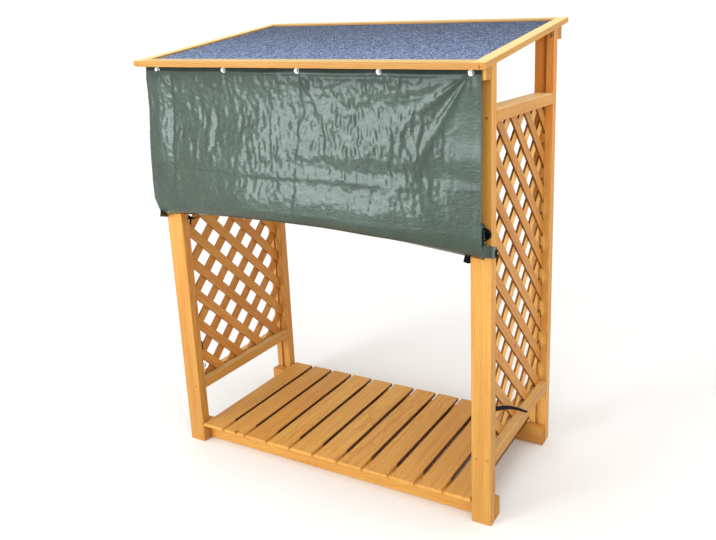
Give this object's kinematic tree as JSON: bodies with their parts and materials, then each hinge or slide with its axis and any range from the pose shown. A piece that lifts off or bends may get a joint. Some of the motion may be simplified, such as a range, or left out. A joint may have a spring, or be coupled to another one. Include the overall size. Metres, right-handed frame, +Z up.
{
  "type": "log store",
  "caption": "Open timber log store with a sloping felt roof, trellis sides, a slatted floor and a rain cover rolled up at the front.",
  "frame": {"origin": "middle of the ground under the overall box", "axes": "+X to the right seen from the front, +Y to the back, +Z up"},
  "size_m": [1.326, 0.782, 1.6266],
  "materials": {
    "frame_wood": "honey stained planed softwood, satin, eased edges",
    "trellis_wood": "honey stained softwood strips, satin",
    "slat_wood": "honey stained planed softwood boards, satin",
    "trim_wood": "honey stained softwood strip, satin",
    "deck_wood": "plain board underside, lightly stained",
    "roof_felt": "slate blue mineral granules on bitumen felt, matt",
    "cover_fabric": "dark green woven coated sheet, satin, creased",
    "knob_plastic": "white, smooth",
    "strap_webbing": "black woven webbing"
  },
  "bodies": {
    "root": {"cover_knob_1": "knob_plastic", "cover_knob_2": "knob_plastic", "cover_knob_3": "knob_plastic", "cover_knob_4": "knob_plastic", "cover_knob_5": "knob_plastic", "floor_slat_01": "slat_wood", "floor_slat_02": "slat_wood", "floor_slat_03": "slat_wood", "floor_slat_04": "slat_wood", "floor_slat_05": "slat_wood", "floor_slat_06": "slat_wood", "floor_slat_07": "slat_wood", "floor_slat_08": "slat_wood", "floor_slat_09": "slat_wood", "floor_slat_10": "slat_wood", "floor_slat_11": "slat_wood", "front_floor_joist": "frame_wood", "front_left_post": "frame_wood", "front_right_post": "frame_wood", "front_roof_trim": "trim_wood", "front_top_beam": "frame_wood", "left_cover_band": "cover_fabric", "left_lower_rail": "frame_wood", "left_roof_trim": "trim_wood", "left_tie_strap": "strap_webbing", "left_trellis": "trellis_wood", "left_upper_rail": "frame_wood", "rain_cover": "cover_fabric", "rear_floor_joist": "frame_wood", "rear_left_post": "frame_wood", "rear_right_post": "frame_wood", "rear_roof_trim": "trim_wood", "rear_top_beam": "frame_wood", "right_cover_band": "cover_fabric", "right_lower_rail": "frame_wood", "right_roof_trim": "trim_wood", "right_tie_strap": "strap_webbing", "right_trellis": "trellis_wood", "right_upper_rail": "frame_wood", "roof_deck": "deck_wood", "roof_felt": "roof_felt"}
  },
  "joints": []
}
